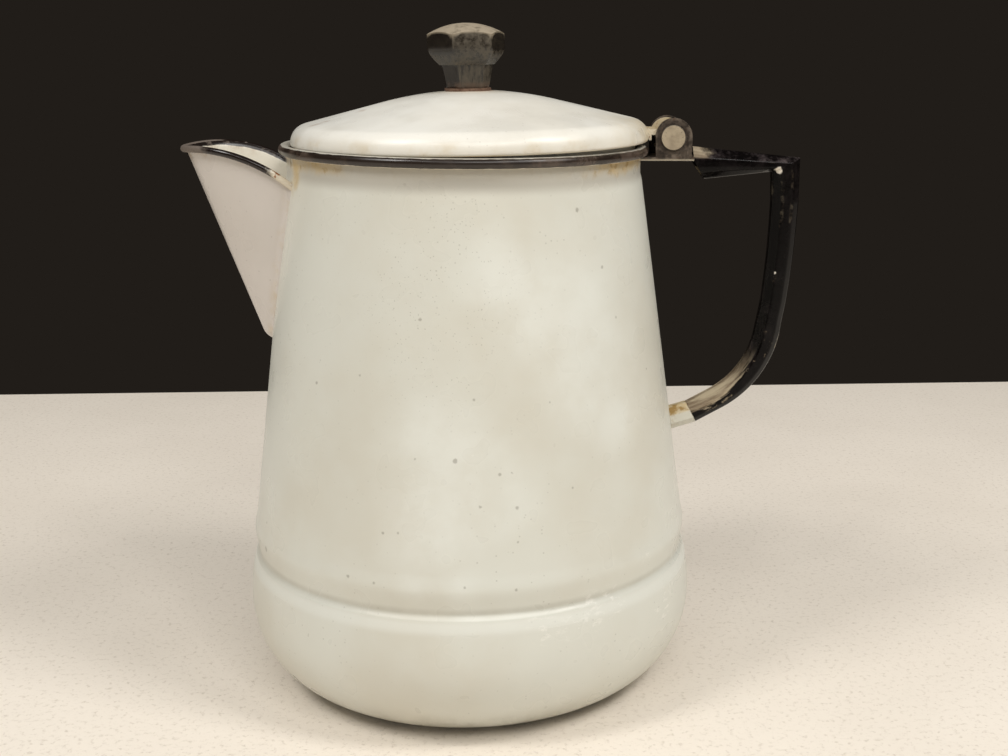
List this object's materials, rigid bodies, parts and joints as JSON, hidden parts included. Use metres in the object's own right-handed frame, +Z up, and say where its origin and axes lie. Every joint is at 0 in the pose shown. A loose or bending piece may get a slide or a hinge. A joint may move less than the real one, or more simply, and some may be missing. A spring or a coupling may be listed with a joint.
{
  "type": "coffee pot",
  "caption": "Enamelled steel stovetop coffee pot with a rolled rim, pouring spout, hollow side handle and a domed lid with a knob, hinged at the handle.",
  "frame": {"origin": "centre of the foot, on the table plane", "axes": "+Z up along the body's axis, +X towards the handle and the hinge, -X towards the spout"},
  "size_m": [0.2167, 0.165, 0.2352],
  "materials": {
    "white_enamel": "glossy, stained",
    "black_enamel": "glossy, worn",
    "bracket_steel": "worn",
    "pin_steel": "dull",
    "knob_black": "worn",
    "rusty_steel": "rusted",
    "screw_steel": "dull"
  },
  "bodies": {
    "pot": {"base_bowl": "white_enamel", "body_shell": "white_enamel", "spout": "white_enamel", "hinge_bracket": "bracket_steel", "hinge_pin": "pin_steel", "handle": "black_enamel", "handle_stub": "white_enamel"},
    "lid": {"lid_shell": "white_enamel", "lid_collar": "white_enamel", "lid_hinge_tab": "white_enamel", "knob": "knob_black", "knob_washer": "rusty_steel", "knob_screw": "screw_steel", "screw_washer": "screw_steel"}
  },
  "joints": [
    {"name": "lid_hinge", "type": "hinge", "parent": "pot", "child": "lid", "pos_m": [0.0719, 0, 0.198], "axis": [0, 1, 0], "range_deg": [0, 169]}
  ]
}
